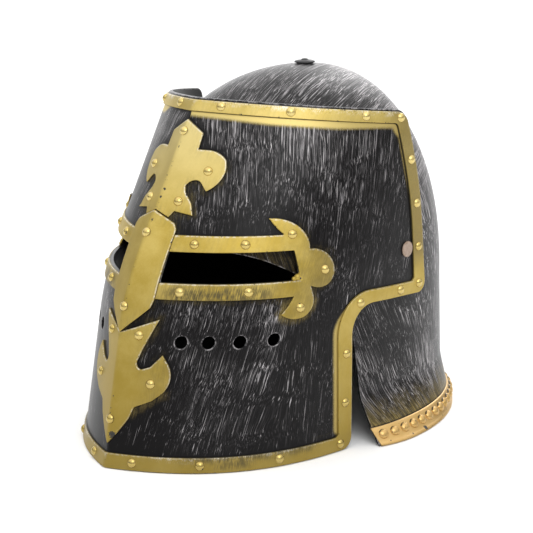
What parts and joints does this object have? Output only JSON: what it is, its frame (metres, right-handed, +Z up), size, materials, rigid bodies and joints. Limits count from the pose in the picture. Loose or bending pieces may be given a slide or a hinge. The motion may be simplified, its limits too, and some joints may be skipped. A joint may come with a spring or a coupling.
{
  "type": "costume great helm with swinging visor",
  "caption": "Domed black helmet with a keeled, slotted visor that swings up on two side rivets, edged with gilt riveted straps and fleur mounts.",
  "frame": {"origin": "on the ground under the middle of the helmet's bounding box", "axes": "+Z up, -Y towards the keel at the front of the face, +X towards the wearer's left"},
  "size_m": [0.262, 0.3342, 0.2685],
  "materials": {
    "black_plastic": "satin black moulded plastic with a fine dry-brushed silver rub",
    "gilt_paint": "satin gold paint on moulded plastic, worn pale along the edges",
    "tan_plastic": "bare tan plastic rivet",
    "lining_foam": "soft dark lining over foam"
  },
  "bodies": {
    "skull": {"skull_shell": "black_plastic", "neck_band": "gilt_paint", "neck_band_studs": "gilt_paint", "crown_boss": "black_plastic", "brow_pad": "lining_foam", "crown_pad": "lining_foam", "pivot_rivet_left": "tan_plastic", "pivot_rivet_right": "tan_plastic", "pivot_spacer_left": "black_plastic", "pivot_spacer_right": "black_plastic", "pivot_burr_left": "tan_plastic", "pivot_burr_right": "tan_plastic"},
    "visor": {"visor_shell": "black_plastic", "rim_strap_left": "gilt_paint", "rim_strap_right": "gilt_paint", "rim_rivets_left": "gilt_paint", "rim_rivets_right": "gilt_paint", "nose_bar": "gilt_paint", "nose_bar_rivets": "gilt_paint", "sight_frame_left": "gilt_paint", "sight_frame_right": "gilt_paint", "sight_frame_rivets_left": "gilt_paint", "sight_frame_rivets_right": "gilt_paint", "upper_fleur": "gilt_paint", "upper_fleur_rivets": "gilt_paint", "lower_fleur": "gilt_paint", "lower_fleur_rivets": "gilt_paint"}
  },
  "joints": [
    {"name": "visor_hinge", "type": "hinge", "parent": "skull", "child": "visor", "pos_m": [0, 0.0422, 0.136], "axis": [-1, 0, 0], "range_deg": [0, 75]}
  ]
}
